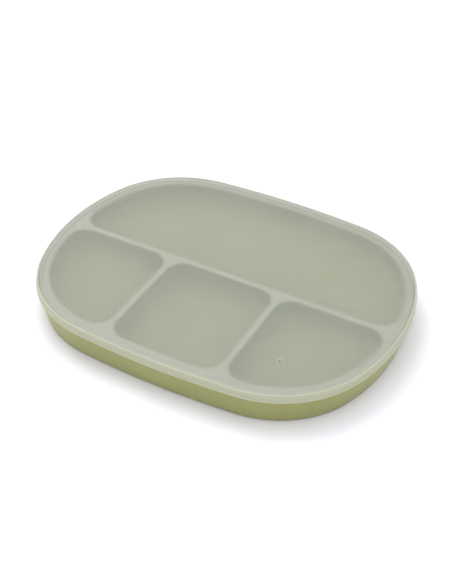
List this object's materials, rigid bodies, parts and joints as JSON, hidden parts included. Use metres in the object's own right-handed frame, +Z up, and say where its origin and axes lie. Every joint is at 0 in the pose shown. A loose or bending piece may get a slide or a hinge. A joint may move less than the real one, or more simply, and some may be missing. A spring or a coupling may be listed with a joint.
{
  "type": "suction bowl",
  "caption": "Low oval baby feeding dish divided into compartments, with a frosted push-on lid and buttoned suction cups underneath that hold it to a table.",
  "frame": {"origin": "centre of the closed dish in plan, on the table plane that the suction cups stand on", "axes": "+Z up out of the compartments, +X along the dish's length to the eater's right, +Y from the front row of compartments to the long one at the back"},
  "size_m": [0.25, 0.196, 0.0253],
  "materials": {
    "tray_silicone": "matte olive green silicone",
    "lid_silicone": "frosted translucent silicone, satin",
    "cup_silicone": "milky soft silicone"
  },
  "bodies": {
    "tray": {"tray_body": "tray_silicone"},
    "lid": {"lid": "lid_silicone"},
    "suction_cup_front_left_body": {"suction_cup_front_left": "cup_silicone"},
    "suction_cup_front_right_body": {"suction_cup_front_right": "cup_silicone"},
    "suction_cup_back_left_body": {"suction_cup_back_left": "cup_silicone"},
    "suction_cup_back_right_body": {"suction_cup_back_right": "cup_silicone"}
  },
  "joints": [
    {"name": "lid_lift", "type": "slide", "parent": "tray", "child": "lid", "axis": [0, 0, 1], "range_m": [0, 0.04]},
    {"name": "press_front_left", "type": "slide", "parent": "tray", "child": "suction_cup_front_left_body", "axis": [0, 0, 1], "range_m": [0, 0.0008], "stiffness_N_per_m": 8000},
    {"name": "press_front_right", "type": "slide", "parent": "tray", "child": "suction_cup_front_right_body", "axis": [0, 0, 1], "range_m": [0, 0.0008], "stiffness_N_per_m": 8000},
    {"name": "press_back_left", "type": "slide", "parent": "tray", "child": "suction_cup_back_left_body", "axis": [0, 0, 1], "range_m": [0, 0.0008], "stiffness_N_per_m": 8000},
    {"name": "press_back_right", "type": "slide", "parent": "tray", "child": "suction_cup_back_right_body", "axis": [0, 0, 1], "range_m": [0, 0.0008], "stiffness_N_per_m": 8000}
  ]
}
